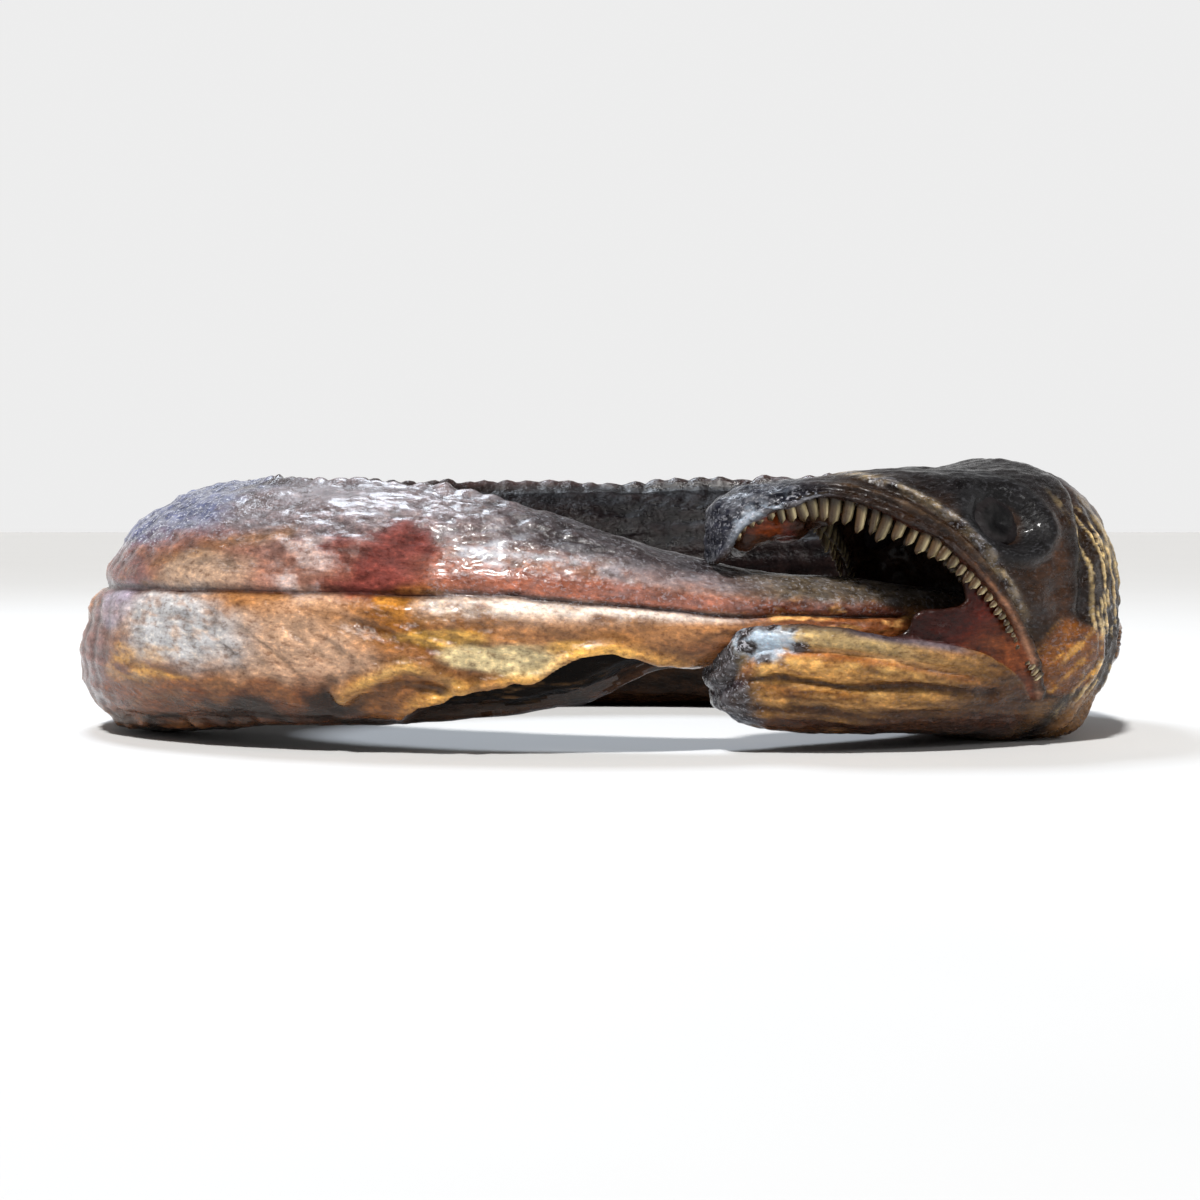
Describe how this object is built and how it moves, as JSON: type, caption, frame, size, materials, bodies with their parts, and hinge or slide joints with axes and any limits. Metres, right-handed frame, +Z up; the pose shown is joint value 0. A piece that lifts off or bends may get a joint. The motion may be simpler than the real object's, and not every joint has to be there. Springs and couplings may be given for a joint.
{
  "type": "smoked fish",
  "caption": "Whole fish smoked and dried in a ring, its tail gripped in its open, toothed mouth, with sunken eye, gill cover and dark oily skin.",
  "frame": {"origin": "bottom centre of the bounding box, on the plane the ring rests on", "axes": "+X along the ring's longest extent, towards the gill covers; +Y from the side with the mouth and the tail's tip to the far side of the ring; +Z up, from the belly to the back"},
  "size_m": [0.1764, 0.12, 0.0451],
  "materials": {
    "smoked_skin": "oily smoked fish skin, charcoal on the back, maroon on the flank and golden brown on the belly, with broken gloss"
  },
  "bodies": {
    "root": {"smoked_fish": "smoked_skin"}
  },
  "joints": []
}
